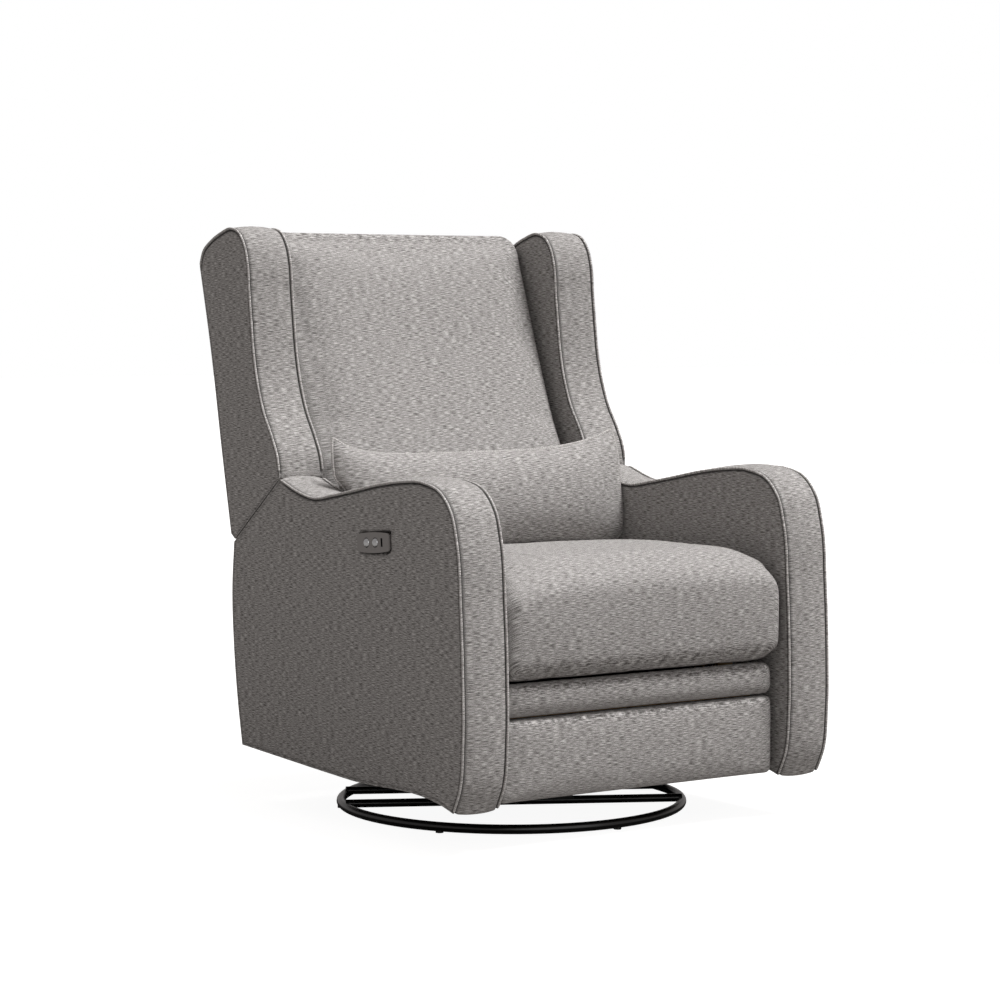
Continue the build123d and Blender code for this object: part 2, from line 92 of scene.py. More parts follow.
def grid_quads(rows, columns, wrap=True):
    """Quads of a grid whose points are numbered row by row."""
    row = np.arange(rows - 1)[:, None] * columns
    column = np.arange(columns if wrap else columns - 1)[None, :]
    following = (column + 1) % columns
    corners = [row + column, row + following, row + columns + following, row + columns + column]
    return np.stack([corner.ravel() for corner in corners], axis=1)


def make_piece(name, points, faces, material, uv=None, seam=None):
    """One smooth mesh object at the origin.

    uv holds each point's place on the cloth, in millimetres, and seam how deep it lies in a seam, from 0 to 1, which
    the cloth material turns into painted shade."""
    mesh = bpy.data.meshes.new(name)
    mesh.from_pydata((np.asarray(points) * MM).tolist(), [], [list(map(int, face)) for face in faces])
    if uv is not None:
        layer = mesh.uv_layers.new(name="cloth")
        loops = np.empty(len(mesh.loops), dtype=np.int32)
        mesh.loops.foreach_get("vertex_index", loops)
        layer.data.foreach_set("uv", (np.asarray(uv) * MM)[loops].ravel())
    if seam is not None:
        mesh.attributes.new("seam", "FLOAT", "POINT").data.foreach_set("value", np.asarray(seam, dtype=float))
    mesh.shade_smooth()
    mesh.materials.append(material)
    piece = bpy.data.objects.new(name, mesh)
    bpy.context.scene.collection.objects.link(piece)
    return piece


def mirrored_x(points, faces):
    """The other side's points, with each face turned round so that it still points outwards."""
    return points * np.array([-1.0, 1.0, 1.0]), [face[::-1] for face in faces]


def smooth_step(value, low, high):
    """0 below low, 1 above high, and an even ease between."""
    t = np.clip((value - low) / (high - low), 0.0, 1.0)
    return t * t * (3.0 - 2.0 * t)


def curve_through(points, step):
    """A smooth curve through given points, sampled about every step millimetres.

    Each span is a Hermite curve. A point's direction is the mean of its two spans' directions, each weighted by the
    other span's length, so that close points don't make the curve overshoot."""
    p = np.array(points, dtype=float)
    span = np.diff(p, axis=0)
    length = np.linalg.norm(span, axis=1)
    slope = span / length[:, None]
    inner = (slope[:-1] * length[1:, None] + slope[1:] * length[:-1, None]) / (length[:-1] + length[1:])[:, None]
    way = np.vstack([slope[:1], inner, slope[-1:]])
    pieces = []
    for k, reach in enumerate(length):
        t = np.linspace(0.0, 1.0, max(2, int(reach / step)), endpoint=False)[:, None]
        start = (1 + 2 * t) * (1 - t) ** 2 * p[k] + t * (1 - t) ** 2 * reach * way[k]
        end = t ** 2 * (3 - 2 * t) * p[k + 1] - t ** 2 * (1 - t) * reach * way[k + 1]
        pieces.append(start + end)
    return np.vstack(pieces + [p[-1][None, :]])


def arc_length(line):
    """The distance along a line of points, from its first."""
    steps = np.linalg.norm(np.diff(line, axis=0), axis=1)
    return np.concatenate([[0.0], np.cumsum(steps)])


def even_samples(line, count):
    """The same line with evenly spaced points."""
    length = arc_length(line)
    at = np.linspace(0.0, length[-1], count)
    return np.stack([np.interp(at, length, line[:, axis]) for axis in range(line.shape[1])], axis=1)


def ripple(a, b, seed, scale):
    """A slow unevenness of about +-1: a sum of eight sine waves in random directions."""
    rng = np.random.default_rng(seed)
    total = np.zeros_like(a)
    for _ in range(8):
        angle, phase = rng.uniform(0, 2 * math.pi, 2)
        wave = rng.uniform(0.6, 1.8) * 2 * math.pi / scale
        total += np.sin((a * math.cos(angle) + b * math.sin(angle)) * wave + phase)
    return total / 4.0


# %% [markdown]
# ## Finishes
# One small function adds a node. Colours are written as sRGB hex, as they are read off a swatch, and turned to the
# linear values that a renderer needs.

# %% Node helpers
def colour(hex_code):
    """sRGB hex to linear RGBA."""
    channels = [int(hex_code[k:k + 2], 16) / 255 for k in (1, 3, 5)]
    return tuple(c / 12.92 if c <= 0.04045 else ((c + 0.055) / 1.055) ** 2.4 for c in channels) + (1.0,)


def add(tree, kind, settings=None, **inputs):
    """A node with its settings and its inputs. An input is a value, or another node's output socket."""
    node = tree.nodes.new(kind)
    for key, value in (settings or {}).items():
        setattr(node, key, value)
    for key, value in inputs.items():
        numbered = key[0] == "i" and key[1:].isdigit()
        socket = node.inputs[int(key[1:]) if numbered else key.replace("_", " ")]
        if isinstance(value, bpy.types.NodeSocket):
            tree.links.new(value, socket)
        else:
            socket.default_value = value
    return node


def new_material(name):
    """An empty node material with its output, and a shader."""
    material = bpy.data.materials.new(name)
    material.use_nodes = True
    tree = material.node_tree
    tree.nodes.clear()
    shader = tree.nodes.new("ShaderNodeBsdfPrincipled")
    output = tree.nodes.new("ShaderNodeOutputMaterial")
    tree.links.new(shader.outputs["BSDF"], output.inputs["Surface"])
    return material, tree, shader


# %% [markdown]
# ## The cover: a heathered polyester weave
# The yarns are spun from light and dark fibres, so the cloth is a mix of warm greys with short level streaks. Real
# yarns are taken to be 0.7 mm apart, too fine to show, so the heather is drawn as coarse as it must be: streaks 0.9 mm
# tall and 14 mm long, with 1.1 mm flecks between them. The weave's bump is drawn at 1.6 mm for the same reason. The
# pattern reads the piece's own cloth map, so it follows the surface. Deep in a seam the colour is mixed towards
# near-black: painted shade for the shadow that falls in the seam.

# %% Upholstery material
HEATHER_DARK = "#4F4C4A"
HEATHER_MID = "#8E8B89"
HEATHER_LIGHT = "#CFCCCA"
STREAK_LONG = 14.0
STREAK_TALL = 0.9
FLECK = 1.1
SLUB_SHARE = 0.7
FLECK_SHARE = 0.3
YARN_PITCH = 1.6
BUMP_RISE = 0.0004
# SEAM_SHADE is how far the colour deep in a seam is mixed towards near-black: painted shade.
SEAM_SHADE = 0.96


def maths(tree, operation, *values):
    """The output of one Math node."""
    inputs = {f"i{k}": value for k, value in enumerate(values)}
    return add(tree, "ShaderNodeMath", {"operation": operation}, **inputs).outputs[0]


def noise(tree, vector, scale, detail, roughness):
    """The output of one 2-D noise on the cloth map."""
    return add(tree, "ShaderNodeTexNoise", {"noise_dimensions": "2D"}, Vector=vector, Scale=scale, Detail=detail,
               Roughness=roughness).outputs["Fac"]


def upholstery(name, lift=1.0):
    """Woven cloth. lift scales the yarn colours up: a painted highlight, so that piping shows as a light line."""
    material, tree, shader = new_material(name)
    cloth = add(tree, "ShaderNodeUVMap", {"uv_map": "cloth"}).outputs["UV"]
    stretch = (1000 / STREAK_LONG, 1000 / STREAK_TALL, 1.0)
    streaks = add(tree, "ShaderNodeMapping", None, Vector=cloth, Scale=stretch).outputs["Vector"]
    slub = noise(tree, streaks, 1.0, 2.0, 0.6)
    fleck = noise(tree, cloth, 1000 / FLECK, 1.0, 0.6)
    mix = maths(tree, "MULTIPLY_ADD", slub, SLUB_SHARE, maths(tree, "MULTIPLY", fleck, FLECK_SHARE))
    ramp = add(tree, "ShaderNodeValToRGB", None, Fac=mix)
    ramp.color_ramp.elements[0].position = 0.34
    ramp.color_ramp.elements[1].position = 0.66
    ramp.color_ramp.elements.new(0.5)
    # lift scales every heather colour up: a painted highlight where this material is used on piping.
    for element, hex_code in zip(ramp.color_ramp.elements, (HEATHER_DARK, HEATHER_MID, HEATHER_LIGHT)):
        element.color = tuple(min(1.0, c * lift) for c in colour(hex_code)[:3]) + (1.0,)
    # Painted shade: the seam attribute mixes the colour towards near-black #100F0E in seams and grooves.
    seam = add(tree, "ShaderNodeAttribute", {"attribute_name": "seam"}).outputs["Fac"]
    deep = maths(tree, "MULTIPLY", seam, SEAM_SHADE)
    shaded = add(tree, "ShaderNodeMix", {"data_type": "RGBA"}, i0=deep, i6=ramp.outputs["Color"],
                 i7=colour("#100F0E")).outputs[2]
    tree.links.new(shaded, shader.inputs["Base Color"])
    turn = 2 * math.pi / (YARN_PITCH * MM)
    apart = add(tree, "ShaderNodeSeparateXYZ", None, Vector=cloth)
    warp = maths(tree, "SINE", maths(tree, "MULTIPLY", apart.outputs["X"], turn))
    weft = maths(tree, "SINE", maths(tree, "MULTIPLY", apart.outputs["Y"], turn))
    height = maths(tree, "MULTIPLY_ADD", maths(tree, "MULTIPLY", warp, weft), 0.25, mix)
    bump = add(tree, "ShaderNodeBump", None, Strength=0.5, Distance=BUMP_RISE, Height=height)
    tree.links.new(bump.outputs["Normal"], shader.inputs["Normal"])
    shader.inputs["Roughness"].default_value = 0.93
    shader.inputs["Specular IOR Level"].default_value = 0.2
    shader.inputs["Sheen Weight"].default_value = 0.12
    shader.inputs["Sheen Roughness"].default_value = 0.5
    shader.inputs["Sheen Tint"].default_value = colour("#D8D3CF")
    return material


cover_cloth = upholstery("heathered_weave")
# Piping cloth painted 1.4 times lighter: a painted highlight along each cord.
piping_painted_highlight_cloth = upholstery("heathered_weave_piping_painted_highlight", 1.4)

# %% [markdown]
# ## A padded slab with a welted gusset
# An arm is a board shape: a flat side, a strip of cloth (the gusset) carried round its edge, and the other side. The
# outline is a closed line in the chair's side plane. Rings of that outline shrink to one middle point on each side,
# which suits a shape whose every edge point can be seen from that middle. The sides puff out a little, the gusset is
# crowned, and a shallow groove runs beside each seam, where the stitching pulls the cloth down.

# %% Slab surface
FACE_RINGS = 56
GUSSET_ROWS = 28
GROOVE_DEPTH = 2.8
GROOVE_AT = 4.0
GROOVE_WIDTH = 2.1
PUFF_REACH = 110.0


def outward(line):
    """Unit normals of a closed line in its own plane, pointing away from the inside."""
    along = np.roll(line, -3, axis=0) - np.roll(line, 3, axis=0)
    normal = np.stack([along[:, 1], -along[:, 0]], axis=1)
    normal /= np.linalg.norm(normal, axis=1)[:, None] + 1e-9
    area = np.sum(line[:, 0] * np.roll(line[:, 1], -1) - np.roll(line[:, 0], -1) * line[:, 1])
    return normal if area > 0 else -normal


def groove(distance):
    """A bell of height 1, GROOVE_AT from a seam."""
    return np.exp(-((distance - GROOVE_AT) / GROOVE_WIDTH) ** 2)


def soft_distance(flat, outline):
    """A smooth stand-in for the distance to the outline: the fourth-power mean of 1 / distance, turned back."""
    gap = flat[:, :, None, :] - outline[None, None, ::3, :]
    return np.sum((np.sum(gap ** 2, axis=3) + 4.0) ** -2, axis=2) ** -0.25


def fan(first_row, count, pole, flip):
    """Triangles from a closed row to its pole."""
    first = first_row + np.arange(count)
    following = first_row + (np.arange(count) + 1) % count
    ends = (following, first) if flip else (first, following)
    return list(np.stack([*ends, np.full(count, pole)], axis=1))


def slab_surface(outline, middle, low_x, high_x, puff, crown, piped, dent=None):
    """Points, faces, cloth map and seam depth of a slab.

    Face ring k is middle + (outline - middle) * r, with r from 0 to 1, closer together near the edge. Its x leaves the
    face plane by a puff that eases in with the distance from the outline, less the groove. Gusset row u is the outline
    pushed out by crown * (1 - (2u - 1)^2), less the groove at both ends. piped says which points have piping."""
    middle = np.array(middle, dtype=float)
    count = len(outline)
    normal = outward(outline)
    inward = outline - middle
    reach = np.maximum(np.abs(np.sum(inward * normal, axis=1)), 0.45 * np.linalg.norm(inward, axis=1))
    around = arc_length(np.vstack([outline, outline[:1]]))[:-1]
    spread = np.linspace(0.0, 1.0, FACE_RINGS + 1)[1:]
    r = 1.0 - (1.0 - spread) ** 1.6
    near = (1.0 - r)[:, None] * reach[None, :]
    flat = middle + (outline - middle)[None, :, :] * r[:, None, None]
    depth = (0.35 + 0.65 * piped)[None, :] * groove(near)
    inside = smooth_step(soft_distance(flat, outline), 2.0, PUFF_REACH) * smooth_step(near, 0.0, 12.0)
    uneven = 0.6 * ripple(flat[..., 0], flat[..., 1], 11, 260.0)
    lift = (puff + uneven) * inside - GROOVE_DEPTH * depth
    outer_x = high_x + lift
    inner_x = low_x - lift * 0.6
    if dent is not None:
        outer_x = dent(flat[..., 0], flat[..., 1], outer_x)
    u = (1.0 - np.cos(math.pi * np.linspace(0.0, 1.0, GUSSET_ROWS + 2)[1:-1])) / 2
    width = high_x - low_x
    strip_depth = (0.35 + 0.65 * piped)[None, :] * groove(np.minimum(u, 1.0 - u) * width)[:, None]
    bow = (1.0 - (2 * u - 1) ** 2)[:, None]
    wave = 0.6 * ripple(around[None, :] + 0 * u[:, None], u[:, None] * width + 0 * around[None, :], 12, 150.0)
    push = (crown + wave) * bow - GROOVE_DEPTH * strip_depth
    gusset = outline[None, :, :] + normal[None, :, :] * push[..., None]
    gusset_x = (low_x + width * u)[:, None] + 0 * around[None, :]
    inner = np.concatenate([inner_x[..., None], flat], axis=2)
    outer = np.concatenate([outer_x[..., None], flat], axis=2)[::-1]
    strip = np.concatenate([gusset_x[..., None], gusset], axis=2)
    rows = np.concatenate([inner, strip, outer], axis=0)
    poles = np.array([[inner_x[0].mean(), *middle], [outer_x[0].mean(), *middle]])
    points = np.vstack([rows.reshape(-1, 3), poles])
    total = rows.shape[0]
    faces = list(grid_quads(total, count)) + fan(0, count, total * count, True)
    faces += fan((total - 1) * count, count, total * count + 1, False)
    strip_uv = np.stack([gusset_x, around[None, :] + 0 * gusset_x], axis=2).reshape(-1, 2)
    uv = np.vstack([flat.reshape(-1, 2), strip_uv, flat[::-1].reshape(-1, 2), middle[None, :], middle[None, :]])
    # seam, the groove's depth at each point, is what the cloth material uses to paint shade into the seams.
    seam = np.concatenate([depth.ravel(), strip_depth.ravel(), depth[::-1].ravel(), [0.0, 0.0]])
    return points, faces, uv, seam


def facing_out(points, faces):
    """The faces, turned round if the closed surface's signed volume is negative."""
    triangles = np.array([face[:3] for face in faces] + [[f[0], f[2], f[3]] for f in faces if len(f) == 4])
    a, b, c = (points[triangles[:, k]] for k in range(3))
    volume = np.sum(a * np.cross(b, c))
    return faces if volume > 0 else [face[::-1] for face in faces]


# %% [markdown]
# ## Piping
# Piping is a cord in a folded strip of the same cloth, sewn into the seam. It is a tube carried along the seam line. A
# frame along the line is worked out from the line's direction and the chair's X axis, because the seams lie in side
# planes. The ends taper, as they do where an upholsterer tucks them under.

# %% Piping surface
PIPING_RADIUS = 2.1
PIPING_SIDES = 12


def tube_surface(line, radius, side_axis, closed=False):
    """Points, faces and cloth map of a tube round a line of 3-D points.

    side_axis gives one direction across the tube at each point; the other is its cross product with the line."""
    if closed:
        along = np.roll(line, -1, axis=0) - np.roll(line, 1, axis=0)
    else:
        along = np.gradient(line, axis=0)
    along /= np.linalg.norm(along, axis=1)[:, None]
    side = side_axis - along * np.sum(side_axis * along, axis=1)[:, None]
    side /= np.linalg.norm(side, axis=1)[:, None]
    other = np.cross(along, side)
    angle = np.linspace(0, 2 * math.pi, PIPING_SIDES, endpoint=False)
    size = np.full(len(line), radius)
    if not closed:
        run = arc_length(line)
        size = radius * np.sqrt(smooth_step(np.minimum(run, run[-1] - run), -0.2, 7.0))
    ring = np.cos(angle)[None, :, None] * side[:, None, :] + np.sin(angle)[None, :, None] * other[:, None, :]
    points = (line[:, None, :] + ring * size[:, None, None]).reshape(-1, 3)
    run = arc_length(np.vstack([line, line[:1]]) if closed else line)[:len(line)]
    uv = np.stack([np.tile(angle * radius, len(line)), np.repeat(run, PIPING_SIDES)], axis=1)
    rows = len(line)
    if closed:
        index = np.arange(rows * PIPING_SIDES).reshape(rows, PIPING_SIDES)
        up = np.roll(index, -1, axis=0)
        quads = np.stack([index, np.roll(index, -1, 1), np.roll(up, -1, 1), up], axis=2).reshape(-1, 4)
        return points, facing_out(points, list(quads)), uv
    points = np.vstack([points, line[0], line[-1]])
    uv = np.vstack([uv, [0.0, 0.0], [0.0, run[-1]]])
    quads = list(grid_quads(rows, PIPING_SIDES))
    first = np.arange(PIPING_SIDES)
    following = (first + 1) % PIPING_SIDES
    start = np.stack([following, first, np.full(PIPING_SIDES, rows * PIPING_SIDES)], axis=1)
    last = (rows - 1) * PIPING_SIDES
    end = np.stack([last + first, last + following, np.full(PIPING_SIDES, rows * PIPING_SIDES + 1)], axis=1)
    return points, facing_out(points, quads + list(start) + list(end)), uv


def add_seam_piping(name, path, x, body, side):
    """Piping along a side-plane path at one X, standing out a little from the corner it covers."""
    line = np.column_stack([np.full(len(path), x), path])
    across = np.tile([1.0, 0.0, 0.0], (len(path), 1))
    points, faces, uv = tube_surface(line, PIPING_RADIUS, across)
    if side < 0:
        points, faces = mirrored_x(points, faces)
    piece = make_piece(name, points, faces, piping_painted_highlight_cloth, uv)
    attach(piece, body)
    return piece


# %% [markdown]
# ## The arms
# Seen from the side an arm rises straight at the front, rolls over, dips in the middle and rises again to meet the
# wing. Behind, it is cut down on a slope so that the back can lean. The control panel is let into the right arm, so
# that arm's outer side has a pocket, and the cloth round the pocket is drawn in.

# %% Arms
ARM_X = (307.0, 398.0)
ARM_MIDDLE = (-90.0, 350.0)
ARM_FRONT = [(-417, 80), (-437, 122), (-446, 200), (-446, 300), (-440, 420), (-428, 535), (-411, 583), (-382, 612),
             (-325, 628), (-255, 626), (-189, 618), (-110, 604), (-40, 592), (35, 583), (70, 588), (147, 610)]
ARM_SLOPE = [(147, 610), (316, 486)]
ARM_BACK = [(316, 486), (324, 400), (319, 290), (306, 190), (290, 108)]
ARM_BOTTOM = [(290, 108), (-89, 93), (-402, 84), (-417, 80)]
OUTLINE_STEP = 5.5
PANEL_AT = (-173.0, 517.0)
POCKET_HALF = (49.0, 16.0)
POCKET_DEPTH = 27.5
ARM_PUFF = 3.5
ARM_CROWN = 5.5
PANEL_TILT = math.radians(4.3)


def closed_outline(*stretches):
    """One closed line from stretches that meet end to end, and 1 for each point of the first, which is piped."""
    lines = []
    for stretch in stretches:
        fine = curve_through(stretch, 2.0) if len(stretch) > 2 else np.array(stretch, dtype=float)
        count = max(3, int(arc_length(fine)[-1] / OUTLINE_STEP))
        lines.append(even_samples(fine, count + 1)[:-1])
    piped = np.zeros(sum(len(line) for line in lines))
    piped[:len(lines[0])] = 1.0
    return np.vstack(lines), piped


def panel_pocket(y, z, x):
    """The outer side's x with a pocket for the panel and a shallow draw-in round it."""
    along = (y - PANEL_AT[0]) * math.cos(PANEL_TILT) - (z - PANEL_AT[1]) * math.sin(PANEL_TILT)
    up = (y - PANEL_AT[0]) * math.sin(PANEL_TILT) + (z - PANEL_AT[1]) * math.cos(PANEL_TILT)
    from_y = np.abs(along) - POCKET_HALF[0]
    from_z = np.abs(up) - POCKET_HALF[1]
    distance = np.hypot(np.maximum(from_y, 0), np.maximum(from_z, 0)) + np.minimum(np.maximum(from_y, from_z), 0)
    flat_x = ARM_X[1] - 1.2
    drawn = flat_x + (x - flat_x) * smooth_step(distance, 6.0, 70.0)
    pleat = 0.7 * np.sin((y - PANEL_AT[0]) / 8.5 + 1.0) * np.exp(-((distance - 22.0) / 14.0) ** 2) * (z < PANEL_AT[1])
    return drawn + pleat - POCKET_DEPTH * (1.0 - smooth_step(distance, -1.0, 2.5))


def add_arm(side, name):
    outline, piped = closed_outline(ARM_FRONT, ARM_SLOPE, ARM_BACK, ARM_BOTTOM)
    dent = panel_pocket if side < 0 else None
    points, faces, uv, seam = slab_surface(outline, ARM_MIDDLE, *ARM_X, ARM_PUFF, ARM_CROWN, piped, dent)
    if side < 0:
        points, faces = mirrored_x(points, faces)
    faces = facing_out(points, faces)
    arm = make_piece(name + "_upholstery", points, faces, cover_cloth, uv, seam)
    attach(arm, "carriage")
    path = even_samples(curve_through(ARM_FRONT, 2.0), 330)
    for label, x in (("inner", ARM_X[0] + 0.6), ("outer", ARM_X[1] - 0.6)):
        add_seam_piping(f"{name}_piping_{label}", path, x, "carriage", side)
    return arm


arm_left = add_arm(1, "arm_left")
arm_right = add_arm(-1, "arm_right")
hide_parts("arm_cover_left")
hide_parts("arm_cover_right")
print("arm faces", len(arm_left.data.polygons))

# %% [markdown]
# ## The wings
# A wing is the same kind of slab on the back: a swept front edge, a round top, and a foot that stands on the arm's
# slope. It leans with the back and moves with it.

# %% Wings
WING_X = (301.0, 394.0)
WING_MIDDLE = (318.0, 790.0)
WING_PUFF = 3.0
WING_CROWN = 4.0
WING_FRONT = [(156, 622), (162, 648), (182, 686), (210, 728), (233, 782), (247, 838), (255, 895), (262, 950),
              (267, 1000), (278, 1034), (299, 1059), (331, 1068), (368, 1060), (405, 1046), (434, 1028), (448, 999)]
WING_REAR = [(448, 999), (410, 853), (366, 645), (334, 500)]
WING_FOOT = [(334, 500), (320, 491), (156, 611), (156, 622)]


def add_wing(side, name):
    foot = [np.array(WING_FOOT, dtype=float)[k:k + 2] for k in range(3)]
    outline, piped = closed_outline(WING_FRONT, WING_REAR, *foot)
    points, faces, uv, seam = slab_surface(outline, WING_MIDDLE, *WING_X, WING_PUFF, WING_CROWN, piped)
    if side < 0:
        points, faces = mirrored_x(points, faces)
    faces = facing_out(points, faces)
    wing = make_piece(name + "_upholstery", points, faces, cover_cloth, uv, seam)
    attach(wing, "back")
    path = even_samples(curve_through(WING_FRONT, 2.0), 260)
    for label, x in (("inner", WING_X[0] + 0.6), ("outer", WING_X[1] - 0.6)):
        add_seam_piping(f"{name}_piping_{label}", path, x, "back", side)
    return wing


wing_left = add_wing(1, "wing_left")
wing_right = add_wing(-1, "wing_right")
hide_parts("wing_left")
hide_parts("wing_right")

# %% [markdown]
# ## Stuffed pieces
# A cushion starts as a block with rounded edges: each point of a cube's surface is held to an inner core, and pushed
# out from it by the edge radius. A short cloth simulation with air pressure inside then swells it, so that the cover
# pulls tight at the edges and fills in the middle. The foam inside resists being squeezed, so inward travel is mostly
# taken back. The swelling is capped, and what presses on a neighbour is flat.

# %% Blocks and swelling
SIM_FRAMES = 20
FOAM_FIRM = 0.85  # the share of each point's inward travel that is taken back


def cube_grid(cells):
    """A cube's surface from -1 to 1 as shared points and quads, with its own number of cells each way.

    Each of the six sides is a grid of whole-number corners, and the corners that sides share are then merged."""
    sides = []
    for axis in range(3):
        u, v = (axis + 1) % 3, (axis + 2) % 3
        i, j = np.meshgrid(np.arange(cells[u] + 1), np.arange(cells[v] + 1), indexing="ij")
        for end in (0, cells[axis]):
            corner = np.empty(i.shape + (3,), dtype=int)
            corner[..., axis], corner[..., u], corner[..., v] = end, i, j
            quad = np.stack([corner[:-1, :-1], corner[1:, :-1], corner[1:, 1:], corner[:-1, 1:]], axis=2)
            sides.append((quad if end else quad[:, :, ::-1]).reshape(-1, 3))
    whole, number = np.unique(np.vstack(sides), axis=0, return_inverse=True)
    return whole * 2.0 / np.array(cells) - 1.0, number.reshape(-1, 4).tolist()


def rounded_block(size, radius, cell):
    """A block about the origin with edges of one radius, in cells of about one size."""
    half = np.array(size) / 2
    cube, faces = cube_grid([max(4, int(length / cell)) for length in size])
    outer = cube * half
    core = np.clip(outer, -(half - radius), half - radius)
    push = outer - core
    length = np.linalg.norm(push, axis=1)[:, None]
    return core + radius * push / np.maximum(length, 1e-9), faces, cube


def swell(piece, cap, pressure=4.0, held=None):
    """Cloth with air pressure inside, run for SIM_FRAMES frames, with each point's travel capped in millimetres."""
    start = np.empty(len(piece.data.vertices) * 3)
    piece.data.vertices.foreach_get("co", start)
    start = start.reshape(-1, 3)
    cloth = piece.modifiers.new("cloth", "CLOTH")
    cloth.settings.quality = 4
    cloth.settings.mass = 0.3
    cloth.settings.tension_stiffness = 18
    cloth.settings.compression_stiffness = 6
    cloth.settings.shear_stiffness = 5
    cloth.settings.bending_stiffness = 0.4
    cloth.settings.use_pressure = True
    cloth.settings.uniform_pressure_force = pressure
    cloth.settings.effector_weights.gravity = 0.0
    cloth.collision_settings.use_collision = False
    if held is not None:
        group = piece.vertex_groups.new(name="held")
        group.add([int(k) for k in np.nonzero(held)[0]], 1.0, "REPLACE")
        cloth.settings.vertex_group_mass = "held"
    scene = bpy.context.scene
    for number in range(1, SIM_FRAMES + 1):
        scene.frame_set(number)
    ready = piece.evaluated_get(bpy.context.evaluated_depsgraph_get()).data
    moved = np.empty(len(ready.vertices) * 3)
    ready.vertices.foreach_get("co", moved)
    travel = moved.reshape(-1, 3) - start
    length = np.linalg.norm(travel, axis=1)[:, None]
    limit = cap * MM
    travel *= np.minimum(1.0, limit * np.tanh(length / limit) / np.maximum(length, 1e-9))
    normals = np.empty(len(piece.data.vertices) * 3)
    piece.data.vertices.foreach_get("normal", normals)
    normals = normals.reshape(-1, 3)
    inwards = np.minimum(0.0, np.sum(travel * normals, axis=1))[:, None]
    travel -= FOAM_FIRM * inwards * normals
    piece.modifiers.clear()
    piece.vertex_groups.clear()
    piece.data.vertices.foreach_set("co", (start + travel).ravel())
    scene.frame_set(1)
    print(piece.name, "swelled by up to", round(float(length.max()) * 1000, 1), "mm")


def points_of(piece):
    """A piece's points in millimetres."""
    flat = np.empty(len(piece.data.vertices) * 3)
    piece.data.vertices.foreach_get("co", flat)
    return flat.reshape(-1, 3) / MM


def set_points(piece, points):
    piece.data.vertices.foreach_set("co", (np.asarray(points) * MM).ravel())
    piece.data.update()


def soften(piece):
    """One level of subdivision, with the same level for the render."""
    subdivision = piece.modifiers.new("soft", "SUBSURF")
    subdivision.levels = 1
    subdivision.render_levels = 1


def finish_pad(piece, body, node):
    soften(piece)
    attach(piece, body)
    if node is not None:
        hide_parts(node)


# %% [markdown]
# ## Seat cushion
# A foam core with a soft wrap. Its front rolls over and bulges above the footrest, its top is crowned, and its sides
# press on the arms. The cloth map runs from side to side, and from the back over the top and down the front.

# %% Seat cushion
SEAT_X = 304.0
SEAT_Y = (-441.0, 150.0)
SEAT_Z = (289.0, 484.0)
SEAT_FALL = 15.0
SEAT_CROWN = 15.0
SEAT_CORNER_DROP = 20.0
SEAT_CAP = 8.0


def add_seat():
    size = (2 * SEAT_X - 1, SEAT_Y[1] - SEAT_Y[0] - 8, SEAT_Z[1] - SEAT_Z[0] - 6)
    centre = np.array([0.0, sum(SEAT_Y) / 2 - 1, sum(SEAT_Z) / 2 - 1])
    block, faces, cube = rounded_block(size, 30.0, 9.0)
    a, b, c = cube.T
    front = smooth_step(-b, 0.4, 1.0)
    high = smooth_step(c, -0.2, 1.0)
    block[:, 1] -= 7.0 * (1 - c ** 2) * front * (1 - 0.3 * a ** 2)
    rise = SEAT_CROWN * (1 - a ** 2) - SEAT_CORNER_DROP * np.abs(a) ** 9
    block[:, 2] += rise * high * (1 - 0.6 * smooth_step(b, -0.2, 0.6))
    block[:, 2] -= (SEAT_FALL * smooth_step(b, -0.3, 0.9) + 7.0 * smooth_step(-b, 0.72, 1.0)) * high
    block[:, 1] += 16.0 * smooth_step(c, 0.5, 1.0) * front + 12.0 * smooth_step(-c, 0.7, 1.0) * front
    points = block + centre
    uv = np.stack([points[:, 0], -(points[:, 1] + points[:, 2])], axis=1)
    seat = make_piece("seat_cushion_cover", points, faces, cover_cloth, uv)
    swell(seat, SEAT_CAP)
    points = points_of(seat)
    points[:, 2] += 0.8 * ripple(points[:, 0], points[:, 1], 21, 220.0) * (points[:, 2] > 470)
    points[:, 1] += 0.8 * ripple(points[:, 0], points[:, 2], 22, 200.0) * (points[:, 1] < -400)
    points[:, 0] = np.clip(points[:, 0], -SEAT_X, SEAT_X)
    points[:, 1] = np.clip(points[:, 1], -451.0, SEAT_Y[1])
    points[:, 2] = np.clip(points[:, 2], SEAT_Z[0] - 1.0, SEAT_Z[1] + 14.0)
    set_points(seat, points)
    finish_pad(seat, "carriage", "seat_cushion")
    return seat


add_seat()

# %% [markdown]
# ## Back cushion
# The face leans back by about 23 degrees, fills out low down where the sitter's waist goes, and rolls over at the top.
# A block is bent to two lines: the front line through listed depths, and the frame's straight rear line.

# %% Back cushion
BACK_X = 299.0
BACK_TOP = 1066.0
BACK_CROWN = 20.0
BACK_CAP = 14.0
BACK_FRONT_Z = [440, 500, 560, 630, 700, 760, 860, 965, 1040, 1070]
BACK_FRONT_Y = [172, 166, 168, 188, 225, 252, 296, 336, 366, 378]
LEAN = math.tan(math.radians(12.5))
REAR_AT_500 = 334.0


def rear_y(z):
    """The back's rear face at a height."""
    return REAR_AT_500 + (z - 500.0) * LEAN


